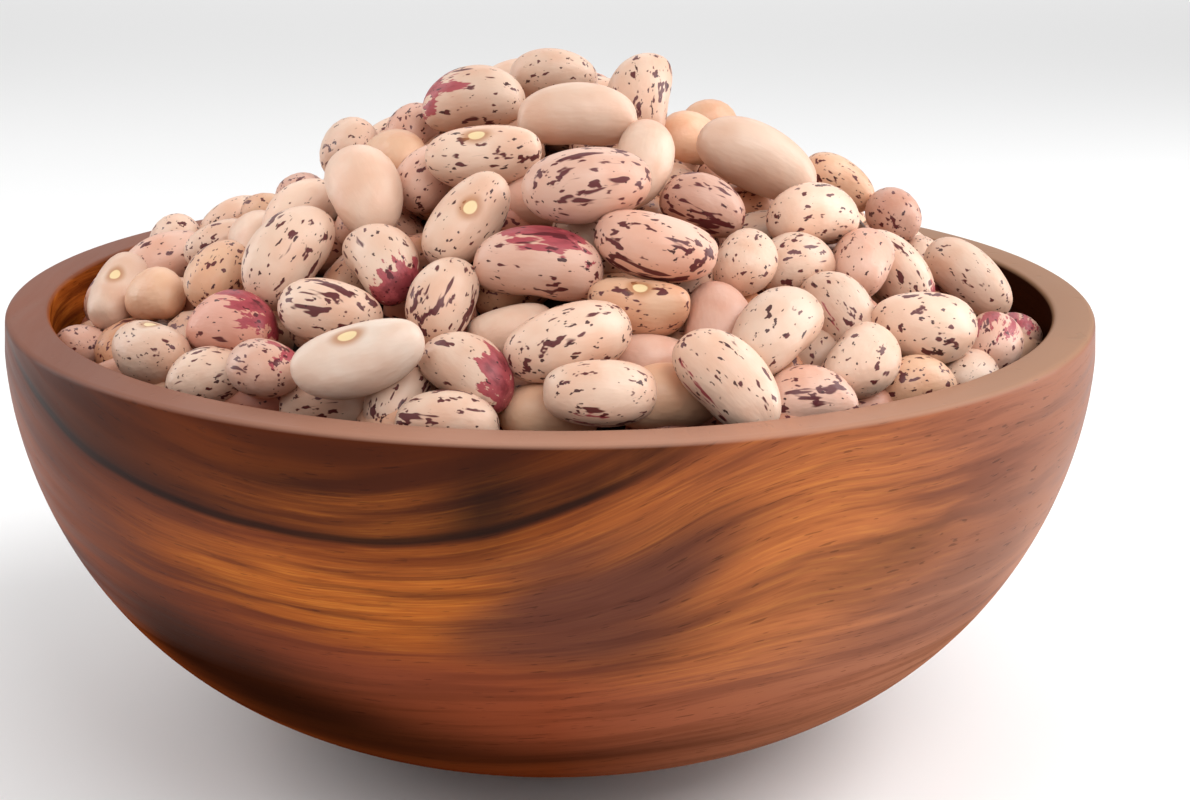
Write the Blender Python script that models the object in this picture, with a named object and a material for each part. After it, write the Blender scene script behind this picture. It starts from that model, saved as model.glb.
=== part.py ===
"""A turned wooden bowl heaped with dried speckled beans.

Metres, +Z up. The origin is the middle of the underside of the foot, so the bowl stands on z = 0.
"""
import math
import random
from collections import namedtuple

import bpy
import numpy as np

MM = 0.001

# The bowl
RIM_RADIUS = 77.5 * MM
RIM_WIDTH = 6.0 * MM
RIM_SOFTNESS = 0.9 * MM
BOWL_HEIGHT = 65.6 * MM
BASE_THICKNESS = 8.6 * MM
BULGE_DEPTH = 5.0 * MM          # the bowl is widest this far below its rim
BULGE = 0.3 * MM
HULL_DEPTH = 63.5 * MM          # where its outside would close, below the rim
HULL_FULLNESS = 2.9             # 2 is an ellipse, and more is fuller
FOOT_RADIUS = 27.5 * MM
FOOT_STEP = 1.2 * MM            # the foot is narrower than the outside above it
BOWL_SIDES = 48
INNER_STEPS = 12

# The heap: a low cone with a round top, over which the middles of the top beans lie
HEAP_TOP = 30.0 * MM            # above the rim
HEAP_SPREAD = 65.0 * MM         # where the heap meets the height of the rim
HEAP_POWER = 1.2
HEAP_TIP = 9.0 * MM             # the round of its tip
DENT_X, DENT_Y = -40 * MM, 6 * MM   # the heap dips here, on its left
DENT_SIZE, DENT_DEPTH = 12 * MM, 4.5 * MM
HOLLOW_X, HOLLOW_Y = 67 * MM, 10 * MM   # the beans leave the wood bare here, on the right
HOLLOW_SIZE, HOLLOW_DEPTH = 9 * MM, 9 * MM
EDGE_DROP = 3 * MM              # the core falls this much towards the wood
REACH = 66 * MM
GAP = 0.45 * MM                 # left between the heap and the wood
SPIRAL_PLACES = 140
SPACING = 10.5 * MM
BLEND = 5 * MM                  # how far the core follows single beans
CORE_DEPTH = 1.7 * MM           # from the middles of the top beans down to the core

# One bean, in shares of its length
BEAN_WIDTH = 0.64
BEAN_THICKNESS = 0.58
BEAN_BEND = 0.075
BEAN_RINGS, BEAN_SIDES = 3, 6

# The photograph's view, for beans that it shows: its size in pixels, and where it was taken from
PHOTO_WIDTH, PHOTO_HEIGHT = 1190, 800
FOCAL_LENGTH = 1970             # in pixels
VIEW_DISTANCE = 290 * MM        # to the middle of the rim
VIEW_ELEVATION = math.radians(13.0)
AIM_RIGHT = math.radians(1.22)
AIM_DOWN = math.radians(3.33)
ROLL = math.radians(0.55)

# Each bean that the photograph shows: its middle in pixels, the turn of its length in degrees
# anticlockwise, its length and how far it lies above the heap in millimetres, which way its seam
# points in degrees, if that shows, and how far it stands on end, from 0 to 1.
FrontBean = namedtuple(
    "FrontBean", "across down turn length lift seam stand", defaults=(0, None, 0)
)
FRONT_BEANS = [
    FrontBean(553, 76, -4, 12.5, 1.5),
    FrontBean(474, 104, 4, 15, 1),
    FrontBean(578, 123, 0, 16, 2),
    FrontBean(643, 106, 82, 14, 0, None, 0.9),
    FrontBean(640, 163, 75, 13, 1, None, 0.5),
    FrontBean(588, 187, 8, 16.5, 2),
    FrontBean(487, 162, -2, 15.5, 1, 40),
    FrontBean(466, 222, 55, 15, 2, 60, 0.3),
    FrontBean(433, 185, 50, 12, -1),
    FrontBean(363, 195, -62, 16, 1, None, 0.4),
    FrontBean(350, 150, 15, 13),
    FrontBean(412, 132, 60, 12, -1),
    FrontBean(395, 158, -20, 12, -1),
    FrontBean(305, 192, -60, 12, -1),
    FrontBean(290, 258, 60, 15.5, 1, None, 0.4),
    FrontBean(380, 265, -50, 13.5, 1),
    FrontBean(445, 303, 70, 12.5, 1, None, 0.3),
    FrontBean(540, 276, -8, 16, 1),
    FrontBean(655, 247, -14, 15.5, 2),
    FrontBean(703, 207, -20, 11.5),
    FrontBean(757, 163, -25, 17.5, 1),
    FrontBean(813, 224, 8, 15, 1),
    FrontBean(743, 265, 50, 11.5),
    FrontBean(893, 215, -65, 12),
    FrontBean(862, 266, 55, 13.5),
    FrontBean(967, 278, -45, 15, 1),
    FrontBean(640, 308, -10, 12.5, 0, 50),
    FrontBean(773, 332, 40, 15, 2),
    FrontBean(922, 330, -4, 16.5, 1),
    FrontBean(570, 348, 22, 16, 1),
    FrontBean(600, 392, 0, 13, 2),
    FrontBean(465, 378, -30, 13, 1),
    FrontBean(450, 418, 0, 12, -2),
    FrontBean(398, 402, 60, 12, -2),
    FrontBean(360, 363, 15, 16, 2, 70),
    FrontBean(328, 312, -10, 14, 1),
    FrontBean(233, 330, -5, 13.5),
    FrontBean(272, 374, -20, 11),
    FrontBean(153, 357, -15, 13, 1, 50),
    FrontBean(208, 383, 10, 11, -1),
    FrontBean(155, 297, 0, 11, -1),
    FrontBean(219, 275, 70, 12),
    FrontBean(118, 295, 80, 13.5, 0, 90, 0.5),
    FrontBean(175, 240, 10, 12),
    FrontBean(236, 222, 30, 12),
    FrontBean(270, 215, 0, 11, -1),
    FrontBean(88, 345, 0, 11, -3),
    FrontBean(330, 412, 0, 12, -3),
    FrontBean(548, 415, 0, 12, -3),
    FrontBean(672, 413, 0, 12.5, -2),
    FrontBean(725, 392, -38, 15, 1),
    FrontBean(655, 368, 0, 12, -3),
    FrontBean(708, 327, 80, 13, -1),
    FrontBean(808, 397, 10, 12),
    FrontBean(858, 367, 50, 13.5, 1),
    FrontBean(915, 390, 0, 11.5, -1),
    FrontBean(990, 350, 60, 12, -1),
    FrontBean(797, 275, 10, 12, -1),
    FrontBean(840, 312, -50, 12, -1),
    FrontBean(513, 325, 20, 11, -3),
    FrontBean(590, 238, -40, 12, -2),
    FrontBean(690, 290, 60, 11, -2),
    FrontBean(838, 182, -30, 12, -1),
    FrontBean(690, 140, 0, 11, -2),
    FrontBean(708, 125, 0, 12, -1),
    FrontBean(540, 207, 0, 12, -2),
    FrontBean(920, 262, 60, 11, -2),
    FrontBean(965, 372, 30, 11, -2),
    FrontBean(1012, 335, 60, 11, -3),
]


def make_material(name, colour, roughness, metallic=0.0):
    material = bpy.data.materials.new(name)
    material.use_nodes = True
    shader = material.node_tree.nodes["Principled BSDF"]
    shader.inputs["Base Color"].default_value = (*colour, 1)
    shader.inputs["Roughness"].default_value = roughness
    shader.inputs["Metallic"].default_value = metallic
    return material


def make_object(name, points, faces, material=None):
    mesh = bpy.data.meshes.new(name)
    mesh.from_pydata([tuple(p) for p in points], [], faces)
    mesh.update()
    if material:
        mesh.materials.append(material)
    thing = bpy.data.objects.new(name, mesh)
    bpy.context.scene.collection.objects.link(thing)
    return thing


def inner_radius(z):
    """Radius of the bowl's inside at height z: upright at the rim, then half an ellipse."""
    depth = BOWL_HEIGHT - BULGE_DEPTH - BASE_THICKNESS
    share = np.clip((BOWL_HEIGHT - BULGE_DEPTH - z) / depth, 0, 0.9999)
    return (RIM_RADIUS - RIM_WIDTH) * np.sqrt(1 - share**2)


def outer_profile():
    """The outside from the foot up to the rim, fuller than an ellipse."""
    widest = RIM_RADIUS + BULGE
    end = (1 - ((FOOT_RADIUS + FOOT_STEP) / widest) ** HULL_FULLNESS) ** (1 / 1.85)
    line = []
    for step in range(11):
        part = math.sin(math.radians(90 * (1 - step / 10))) * end
        radius = widest * (1 - part**1.85) ** (1 / HULL_FULLNESS)
        line.append((radius, BOWL_HEIGHT - BULGE_DEPTH - (HULL_DEPTH - BULGE_DEPTH) * part))
    return line


def inner_profile(gap):
    """The inside from below the rim down to near its middle, or a line that keeps a gap to it."""
    depth = BOWL_HEIGHT - BULGE_DEPTH - BASE_THICKNESS
    line = []
    for step in range(INNER_STEPS):
        turn = math.radians(90 * step / INNER_STEPS)
        z = BOWL_HEIGHT - BULGE_DEPTH - depth * math.sin(turn)
        line.append((float(inner_radius(z)) - gap * math.cos(turn), z + gap * math.sin(turn)))
    return line


def bowl_profile():
    """Radius and height, from the middle of the foot round to the middle of the inside."""
    foot_edge = 0.4 * MM
    outside = outer_profile()
    line = [(0, 0), (FOOT_RADIUS - foot_edge, 0), (FOOT_RADIUS, foot_edge)]
    line += [(FOOT_RADIUS, outside[0][1] - 0.6 * MM)] + outside
    for centre, start in ((RIM_RADIUS - RIM_SOFTNESS, 0), (RIM_RADIUS - RIM_WIDTH + RIM_SOFTNESS, 90)):
        for step in range(3):
            turn = math.radians(start + 45 * step)
            line.append((
                centre + RIM_SOFTNESS * math.cos(turn),
                BOWL_HEIGHT - RIM_SOFTNESS * (1 - math.sin(turn)),
            ))
    return line + inner_profile(0) + [(0, BASE_THICKNESS)]


def turned(profile, sides):
    """Points and faces of a closed turned shape, whose profile starts and ends on the axis."""
    rings = profile[1:-1]
    points = [(0, 0, profile[0][1])]
    for radius, z in rings:
        for k in range(sides):
            angle = 2 * math.pi * k / sides
            points.append((radius * math.cos(angle), radius * math.sin(angle), z))
    points.append((0, 0, profile[-1][1]))
    last, top = len(points) - 1, 1 + (len(rings) - 1) * sides
    faces = []
    for k in range(sides):
        after = (k + 1) % sides
        faces.append((0, 1 + after, 1 + k))
        for ring in range(len(rings) - 1):
            low, high = 1 + ring * sides, 1 + (ring + 1) * sides
            faces.append((low + k, low + after, high + after, high + k))
        faces.append((top + k, top + after, last))
    return points, faces


def heap_height(x, y):
    """Height of the heap's surface, through the middles of the beans that lie on it."""
    out = np.sqrt(x * x + y * y + HEAP_TIP**2) - HEAP_TIP
    far = ((x - DENT_X) ** 2 + (y - DENT_Y) ** 2) / DENT_SIZE**2
    cone = HEAP_TOP * (1 - (out / (HEAP_SPREAD - 0.9 * HEAP_TIP)) ** HEAP_POWER)
    return BOWL_HEIGHT + cone - DENT_DEPTH * np.exp(-far / 2) - hollow(x, y)


def hollow(x, y):
    far = ((x - HOLLOW_X) ** 2 + (y - HOLLOW_Y) ** 2) / HOLLOW_SIZE**2
    return HOLLOW_DEPTH * np.exp(-far / 2)


def heap_normal(x, y):
    step = 0.5 * MM
    rise_x = (heap_height(x + step, y) - heap_height(x - step, y)) / (2 * step)
    rise_y = (heap_height(x, y + step) - heap_height(x, y - step)) / (2 * step)
    normal = np.array([-rise_x, -rise_y, 1.0])
    return normal / np.linalg.norm(normal)


def view_axes():
    """The eye, and the directions to the right, up and ahead in the photograph."""
    level = np.array([0, math.cos(VIEW_ELEVATION), -math.sin(VIEW_ELEVATION)])
    right = np.array([1.0, 0, 0])
    up = np.cross(right, level)
    ahead = math.cos(AIM_DOWN) * (level * math.cos(AIM_RIGHT) + right * math.sin(AIM_RIGHT))
    ahead = ahead - up * math.sin(AIM_DOWN)
    side = np.cross(ahead, (0, 0, 1.0))
    side = side / np.linalg.norm(side)
    top = np.cross(side, ahead)
    side, top = (
        side * math.cos(ROLL) + top * math.sin(ROLL),
        top * math.cos(ROLL) - side * math.sin(ROLL),
    )
    return np.array([0, 0, BOWL_HEIGHT]) - VIEW_DISTANCE * level, side, top, ahead


EYE, SIDE, TOP, AHEAD = view_axes()


def on_heap(across, down, lift):
    """Where the line of sight through a pixel first meets the heap, or passes nearest to it."""
    ray = (
        AHEAD
        + SIDE * (across - PHOTO_WIDTH / 2) / FOCAL_LENGTH
        - TOP * (down - PHOTO_HEIGHT / 2) / FOCAL_LENGTH
    )
    ray = ray / np.linalg.norm(ray)
    line = EYE + np.linspace(VIEW_DISTANCE - 80 * MM, VIEW_DISTANCE + 75 * MM, 1200)[:, None] * ray
    above = line[:, 2] - heap_height(line[:, 0], line[:, 1]) - lift
    inside = np.hypot(line[:, 0], line[:, 1]) < RIM_RADIUS
    hits = np.nonzero((above <= 0) & inside)[0]
    return line[hits[0] if len(hits) else int(np.argmin(above))]


def first_places():
    """Middle, direction, length, lift and whether it is tied to the photograph, for each bean."""
    places = []
    for bean in FRONT_BEANS:
        middle = on_heap(bean.across, bean.down, bean.lift * MM)
        turn = math.radians(bean.turn)
        flat = SIDE * math.cos(turn) + TOP * math.sin(turn)
        normal = heap_normal(middle[0], middle[1])
        along = flat - AHEAD * (flat @ normal) / (AHEAD @ normal) * (1 - bean.stand)
        places.append((middle, along, bean.length * MM, bean.lift * MM, 1.0))
    draw = random.Random(11)
    front = np.array([place[0] for place in places])
    for k in range(SPIRAL_PLACES):
        out = REACH * math.sqrt((k + 0.5) / SPIRAL_PLACES)
        angle = k * math.pi * (3 - math.sqrt(5))
        x, y = out * math.cos(angle), out * math.sin(angle)
        crowded = np.hypot(front[:, 0] - x, front[:, 1] - y).min() < SPACING
        if crowded or hollow(x, y) > 3 * MM:
            continue
        normal = heap_normal(x, y)
        first = np.cross(normal, (1.0, 0, 0))
        second = np.cross(normal, first)
        turn = draw.uniform(0, math.pi)
        along = first * math.cos(turn) + second * math.sin(turn) + normal * draw.uniform(-0.25, 0.25)
        middle = np.array([x, y, heap_height(x, y) - 2.5 * MM])
        length, lift = draw.uniform(12, 15.5), draw.uniform(-3.5, -1.5)
        places.append((middle, along, length * MM, lift * MM, 0.0))
    middles, alongs, lengths, lifts, tied = (np.array(column) for column in zip(*places))
    return middles, unit(alongs), lengths, lifts, tied[:, None]


def unit(vectors):
    return vectors / np.sqrt((vectors * vectors).sum(-1))[..., None]


# A bean is seven balls along a rod, for the settling.
ROD_SHARE = 0.62
BALL_SHARES = np.array([0, 0.125, 0.29, 0.5, 0.71, 0.875, 1.0])
BALL_RADII = np.array([0.2, 0.25, 0.285, 0.3, 0.285, 0.25, 0.2])


def settled(middles, alongs, lengths, lifts, tied, rounds=260):
    """Beans pushed out of each other, the wood and the heap below, and held near their places."""
    half = (ROD_SHARE * lengths / 2)[:, None]
    start, end = middles - alongs * half, middles + alongs * half
    rays = unit(middles - EYE)
    radii = lengths[:, None] * BALL_RADII
    share = BALL_SHARES[:, None]
    for step in range(rounds):
        if step % 10 == 0:
            apart = np.sqrt((((start + end)[:, None] - (start + end)[None]) ** 2).sum(2)) / 2
            near = apart < (lengths[:, None] + lengths[None]) / 2 + 1 * MM
            one, other = np.nonzero(np.triu(near, 1))
        # Drawn to its place, turned to its direction, and drawn down by its weight
        off = middles - (start + end) / 2
        across = off - rays * (off * rays).sum(1)[:, None]
        level = off * np.array([1, 1, 0])
        move = (0.09 if step < 0.7 * rounds else 0.05) * (tied * across + (1 - tied) * 0.3 * level)
        move[:, 2] -= 0.1 * MM * (1 - step / rounds)
        middle, along = (start + end) / 2 + move, unit(end - start)
        same_way = np.sign((along * alongs).sum(1))[:, None]
        along = unit(along + 0.05 * (alongs * same_way - along))
        start, end = middle - along * half, middle + along * half
        # Pushed out of what it touches
        balls = start[:, None] * (1 - share) + end[:, None] * share
        push_start, push_end = np.zeros_like(start), np.zeros_like(end)
        count = np.zeros(len(lengths))
        between = balls[one][:, :, None] - balls[other][:, None]
        apart = np.sqrt((between**2).sum(3))
        over = radii[one][:, :, None] + radii[other][:, None] - apart
        pair, k, m = np.nonzero(over > 0)
        push = between[pair, k, m] * (0.5 * over[pair, k, m] / apart[pair, k, m])[:, None]
        for which, sign, place in (
            (one[pair], 1, BALL_SHARES[k]),
            (other[pair], -1, BALL_SHARES[m]),
        ):
            for axis in range(3):
                part = 1.5 * sign * push[:, axis]
                push_start[:, axis] += np.bincount(which, part * (1 - place), len(lengths))
                push_end[:, axis] += np.bincount(which, part * place, len(lengths))
            count += np.bincount(which, minlength=len(lengths))
        ground = heap_height(balls[:, :, 0], balls[:, :, 1]) - 4.2 * MM + lifts[:, None]
        sunk = np.clip(ground - balls[:, :, 2] + radii, 0, None)
        out = np.hypot(balls[:, :, 0], balls[:, :, 1])
        past = np.clip(out + radii + GAP - inner_radius(balls[:, :, 2]), 0, None)
        for k, place in enumerate(BALL_SHARES):
            push = np.zeros_like(start)
            push[:, 2] = sunk[:, k]
            push[:, :2] -= balls[:, k, :2] * (past[:, k] / out[:, k])[:, None]
            push_start += push * (1 - place)
            push_end += push * place
            count += (sunk[:, k] > 0).astype(float) + (past[:, k] > 0)
        weight = (1 - 0.45 * tied) / np.maximum(1, 0.35 * count)[:, None]
        start, end = start + push_start * weight, end + push_end * weight
        middle, along = (start + end) / 2, unit(end - start)
        start = np.round(middle - along * half, 7)
        end = np.round(middle + along * half, 7)
    return (start + end) / 2, unit(end - start)


def seam_directions(middles, alongs):
    """Which way each bean's seam points: as the photograph shows, or else down into the heap."""
    draw = random.Random(5)
    seams = []
    for k, (middle, along) in enumerate(zip(middles, alongs)):
        bean = FRONT_BEANS[k] if k < len(FRONT_BEANS) else None
        if bean and bean.seam is not None:
            turn = math.radians(bean.seam)
            towards = SIDE * math.cos(turn) + TOP * math.sin(turn) - AHEAD * 0.9
        else:
            normal = heap_normal(middle[0], middle[1])
            aside = np.cross(normal, along)
            towards = aside * draw.choice((-1, 1)) - normal * draw.uniform(0.1, 1.2)
        seams.append(towards - along * (towards @ along))
    return unit(np.array(seams))


def bean_points(rings, sides):
    """A kidney-shaped bean one unit long: X along it, -Y the seam's side, Z its thickness."""
    points = [(-0.5, 0, 0)]
    for ring in range(1, rings + 1):
        turn = math.pi * ring / (rings + 1)
        x = -0.5 * math.cos(turn)
        size = math.sin(turn) ** 0.8
        for k in range(sides):
            angle = 2 * math.pi * (k + 0.5 * (ring % 2)) / sides
            y = BEAN_WIDTH / 2 * size * math.sin(angle)
            if y < 0:
                y *= 0.9
            y += BEAN_BEND * (0.4 - (2 * x) ** 2)
            points.append((x, y, BEAN_THICKNESS / 2 * size * math.cos(angle)))
    points.append((0.5, 0, 0))
    points = np.array(points)
    points[[0, -1], 1] = -0.6 * BEAN_BEND
    return points


def bean_faces(rings, sides):
    faces = []
    last = 1 + rings * sides
    for k in range(sides):
        after = (k + 1) % sides
        faces.append((0, 1 + k, 1 + after))
        for ring in range(rings - 1):
            low, high = 1 + ring * sides, 1 + (ring + 1) * sides
            if ring % 2 == 0:
                faces.append((low + k, high + k, low + after))
                faces.append((low + after, high + k, high + after))
            else:
                faces.append((low + k, high + k, high + after))
                faces.append((low + k, high + after, low + after))
        low = 1 + (rings - 1) * sides
        faces.append((last, low + after, low + k))
    return faces


def inside_the_wood(points, gap=GAP):
    """Points kept off the bowl's inner wall, where a bean is pressed against it."""
    points = np.array(points, float)
    out = np.hypot(points[:, 0], points[:, 1])
    limit = inner_radius(points[:, 2]) - gap
    points[:, :2] *= np.minimum(1, limit / np.maximum(out, 1e-9))[:, None]
    return points


def core_level(middles, x, y):
    """Height of the core: that of the beans round here, less its depth and what it drops at the wood."""
    far = (middles[:, 0] - x) ** 2 + (middles[:, 1] - y) ** 2
    weight = np.exp(-far / (2 * BLEND**2)) + 1e-9
    edge = np.clip((math.hypot(x, y) - 58 * MM) / (12 * MM), 0, 1) ** 2 * EDGE_DROP
    return (middles[:, 2] * weight).sum() / weight.sum() - CORE_DEPTH - edge - hollow(x, y)


def core(middles):
    """The bowl's filling under the top beans: a turned underside and a top that follows them."""
    sides, rings = 28, 9
    below = inner_profile(1.2 * GAP)[:1:-1]
    above = [((RIM_RADIUS - RIM_WIDTH - 1.2 * GAP) * ring / rings, None) for ring in range(rings, 0, -1)]
    points = [(0, 0, BASE_THICKNESS + 1.2 * GAP)]
    for radius, z in below + above:
        for k in range(sides):
            angle = 2 * math.pi * k / sides
            points.append((radius * math.cos(angle), radius * math.sin(angle), z))
    points.append((0, 0, None))
    for index, (x, y, z) in enumerate(points):
        if z is None:
            points[index] = (x, y, core_level(middles, x, y))
    points = inside_the_wood(points, 1.2 * GAP)
    count = len(below + above)
    faces = []
    last = len(points) - 1
    for k in range(sides):
        after = (k + 1) % sides
        faces.append((0, 1 + after, 1 + k))
        for ring in range(count - 1):
            low, high = 1 + ring * sides, 1 + (ring + 1) * sides
            faces.append((low + k, low + after, high + after))
            faces.append((low + k, high + after, high + k))
        low = 1 + (count - 1) * sides
        faces.append((low + k, low + after, last))
    return points, faces


def largest_shell(mesh):
    """Keeps the outer surface alone: a hollow that fusing seals is filled, and a scrap dropped."""
    mesh.calc_loop_triangles()
    points = np.array([v.co for v in mesh.vertices])
    faces = np.array([t.vertices for t in mesh.loop_triangles])
    label = np.arange(len(points))
    while True:
        low = label[faces].min(1)
        new = label.copy()
        for corner in range(3):
            np.minimum.at(new, faces[:, corner], low)
        if (new == label).all():
            break
        label = new
    volume = np.einsum(
        "ij,ij->i", points[faces[:, 0]], np.cross(points[faces[:, 1]], points[faces[:, 2]])
    ) / 6
    shells = {one: volume[label[faces[:, 0]] == one].sum() for one in np.unique(label[faces])}
    keep = max(shells, key=shells.get)
    kept = faces[label[faces[:, 0]] == keep]
    used, index = np.unique(kept, return_inverse=True)
    return points[used], index.reshape(-1, 3).tolist()


def make_heap(material):
    middles, alongs, lengths, lifts, tied = first_places()
    middles, alongs = settled(middles, alongs, lengths, lifts, tied)
    seams = seam_directions(middles, alongs)
    heap = make_object("bean_heap_core", *core(middles))
    loose = bpy.data.collections.new("loose_beans")
    bpy.context.scene.collection.children.link(loose)
    shape, faces = bean_points(BEAN_RINGS, BEAN_SIDES), bean_faces(BEAN_RINGS, BEAN_SIDES)
    for middle, along, seam, length in zip(middles, alongs, seams, lengths):
        thick = np.cross(along, -seam)
        points = middle + length * (shape @ np.array([along, -seam, thick]))
        copies = [points]
        if middle[2] - core_level(middles, middle[0], middle[1]) > 0.21 * length:
            # One that lies high rests on another below it
            copies.append(points - 5.5 * MM * heap_normal(middle[0], middle[1]))
        for points in copies:
            bean = make_object("bean", inside_the_wood(points), faces)
            bpy.context.scene.collection.objects.unlink(bean)
            loose.objects.link(bean)
    union = heap.modifiers.new("beans", "BOOLEAN")
    union.operation = "UNION"
    union.operand_type = "COLLECTION"
    union.collection = loose
    union.solver = "MANIFOLD"
    graph = bpy.context.evaluated_depsgraph_get()
    fused = bpy.data.meshes.new_from_object(heap.evaluated_get(graph))
    points, faces = largest_shell(fused)
    for thing in list(loose.objects) + [heap]:
        bpy.data.objects.remove(thing)
    bpy.data.collections.remove(loose)
    heap = make_object("bean_heap", points, faces, material)
    fewer = heap.modifiers.new("fewer_slivers", "DECIMATE")
    fewer.ratio = 0.89


for thing in list(bpy.data.objects):
    bpy.data.objects.remove(thing)
wood = make_material("turned_wood", (0.20, 0.065, 0.03), 0.32)
beans = make_material("speckled_beans", (0.72, 0.48, 0.38), 0.4)
bowl = make_object("bowl", *turned(bowl_profile(), BOWL_SIDES), wood)
bowl.data.shade_smooth()
bowl.data.set_sharp_from_angle(angle=math.radians(40))
make_heap(beans)
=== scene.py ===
# %% [markdown]
# # A turned bowl heaped with dried beans
# This script dresses a finished solid model of a wooden bowl and its heap of beans. The bowl
# is turned again with more sides, and the heap is made again from single beans.

# %% Load the solid model
import math
import random
from collections import namedtuple

import bpy
import numpy as np
from mathutils import Matrix, Vector


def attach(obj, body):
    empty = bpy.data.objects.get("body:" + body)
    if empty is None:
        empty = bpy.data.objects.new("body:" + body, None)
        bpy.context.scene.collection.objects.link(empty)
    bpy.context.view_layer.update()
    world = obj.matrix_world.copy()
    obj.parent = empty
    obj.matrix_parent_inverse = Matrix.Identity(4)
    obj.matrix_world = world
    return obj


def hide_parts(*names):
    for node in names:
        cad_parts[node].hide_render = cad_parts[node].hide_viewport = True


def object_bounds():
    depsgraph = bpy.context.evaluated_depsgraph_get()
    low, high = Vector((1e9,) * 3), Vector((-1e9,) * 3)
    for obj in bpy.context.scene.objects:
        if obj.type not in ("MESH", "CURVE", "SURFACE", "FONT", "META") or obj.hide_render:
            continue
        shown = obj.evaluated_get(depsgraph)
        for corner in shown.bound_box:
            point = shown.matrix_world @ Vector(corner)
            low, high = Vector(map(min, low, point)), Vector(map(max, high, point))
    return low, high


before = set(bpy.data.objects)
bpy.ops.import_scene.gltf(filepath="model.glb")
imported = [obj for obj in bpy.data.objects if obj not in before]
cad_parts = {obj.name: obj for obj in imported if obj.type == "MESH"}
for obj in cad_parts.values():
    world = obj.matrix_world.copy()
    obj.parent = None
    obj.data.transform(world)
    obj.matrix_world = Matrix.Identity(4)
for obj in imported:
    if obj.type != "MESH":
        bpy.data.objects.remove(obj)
solid_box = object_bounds()
MM = 0.001
for corner, place in zip(("from", "to"), solid_box):
    print("solid model", corner, [round(v, 4) for v in place])

# %% [markdown]
# # The photograph's view
# Everything is judged from where the photograph was taken, so that comes next. A camera is a
# pinhole: a place, three directions and a focal length. They could be set by eye, but the round
# rim shows as an ellipse whose width, height and bend fix them, so they are worked out from it.
# The same numbers also turn a pixel of the photograph into a line of sight through the scene.

# %% Camera
PHOTO_WIDTH, PHOTO_HEIGHT = 1190, 800
FOCAL_LENGTH = 1970             # in pixels
VIEW_DISTANCE = 290 * MM        # to the middle of the rim
VIEW_ELEVATION = math.radians(13.0)
SENSOR_WIDTH = 36               # in mm
AIM_RIGHT = math.radians(1.22)
AIM_DOWN = math.radians(3.33)
ROLL = math.radians(0.55)
BOWL_HEIGHT = 65.6 * MM


def view_axes():
    """The eye, and the directions to the right, up and ahead in the photograph."""
    level = np.array([0, math.cos(VIEW_ELEVATION), -math.sin(VIEW_ELEVATION)])
    right = np.array([1.0, 0, 0])
    up = np.cross(right, level)
    ahead = math.cos(AIM_DOWN) * (level * math.cos(AIM_RIGHT) + right * math.sin(AIM_RIGHT))
    ahead = ahead - up * math.sin(AIM_DOWN)
    side = np.cross(ahead, (0, 0, 1.0))
    side = side / np.linalg.norm(side)
    top = np.cross(side, ahead)
    side, top = (
        side * math.cos(ROLL) + top * math.sin(ROLL),
        top * math.cos(ROLL) - side * math.sin(ROLL),
    )
    return np.array([0, 0, BOWL_HEIGHT]) - VIEW_DISTANCE * level, side, top, ahead


def add_object(name, data):
    thing = bpy.data.objects.new(name, data)
    bpy.context.scene.collection.objects.link(thing)
    return thing


EYE, SIDE, TOP, AHEAD = view_axes()
camera = add_object("camera", bpy.data.cameras.new("camera"))
camera.data.sensor_width = SENSOR_WIDTH
camera.data.lens = FOCAL_LENGTH / PHOTO_WIDTH * SENSOR_WIDTH
camera.data.clip_start = 0.01
directions = Matrix([[float(v) for v in axis] for axis in (SIDE, TOP, -AHEAD)]).transposed()
camera.matrix_world = Matrix.Translation([float(v) for v in EYE]) @ directions.to_4x4()
bpy.context.scene.camera = camera
print("lens", round(camera.data.lens, 1), "mm at", [round(v, 3) for v in camera.location])


def sight_line(across, down, start, end, count):
    """Points along the line of sight through a pixel, between two distances from the eye."""
    ray = AHEAD + SIDE * (across - PHOTO_WIDTH / 2) / FOCAL_LENGTH
    ray = ray - TOP * (down - PHOTO_HEIGHT / 2) / FOCAL_LENGTH
    ray = ray / np.linalg.norm(ray)
    return EYE + np.linspace(start, end, count)[:, None] * ray


# %% [markdown]
# # Floor and light
# The photograph is a cut-out lit like a product picture: soft light from the front and above,
# and a paler gleam down both edges of the wood. One hard lamp would leave the beans' gaps black
# and the wood dull. So a big soft lamp stands at the upper right front and a weaker one at the
# left, a tall panel at each side lights an edge, and a pale sky fills in the rest. The camera
# looks down a little, so the backdrop that it sees is far floor, and that has a lamp of its own.

# %% Floor and lamps
def make_mesh(name, points, faces):
    mesh = bpy.data.meshes.new(name)
    mesh.from_pydata([tuple(map(float, p)) for p in points], [], faces)
    mesh.update()
    return add_object(name, mesh)


def add_lamp(name, place, target, width, height, watts):
    lamp = bpy.data.lights.new(name, "AREA")
    lamp.shape = "RECTANGLE"
    lamp.size, lamp.size_y, lamp.energy = width, height, watts
    thing = add_object(name, lamp)
    thing.location = place
    thing.rotation_euler = (Vector(target) - Vector(place)).to_track_quat("-Z", "Y").to_euler()


FLOOR_REACH = 6.0
corners = [(x * FLOOR_REACH, y * FLOOR_REACH, 0) for x, y in ((-1, -1), (1, -1), (1, 1), (-1, 1))]
floor = make_mesh("floor", corners, [(0, 1, 2, 3)])
floor_finish = bpy.data.materials.new("pale_floor")
floor_finish.use_nodes = True
floor_shader = floor_finish.node_tree.nodes["Principled BSDF"]
floor_shader.inputs["Base Color"].default_value = (0.86, 0.86, 0.86, 1)
floor_shader.inputs["Roughness"].default_value = 0.9
floor.data.materials.append(floor_finish)

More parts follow.
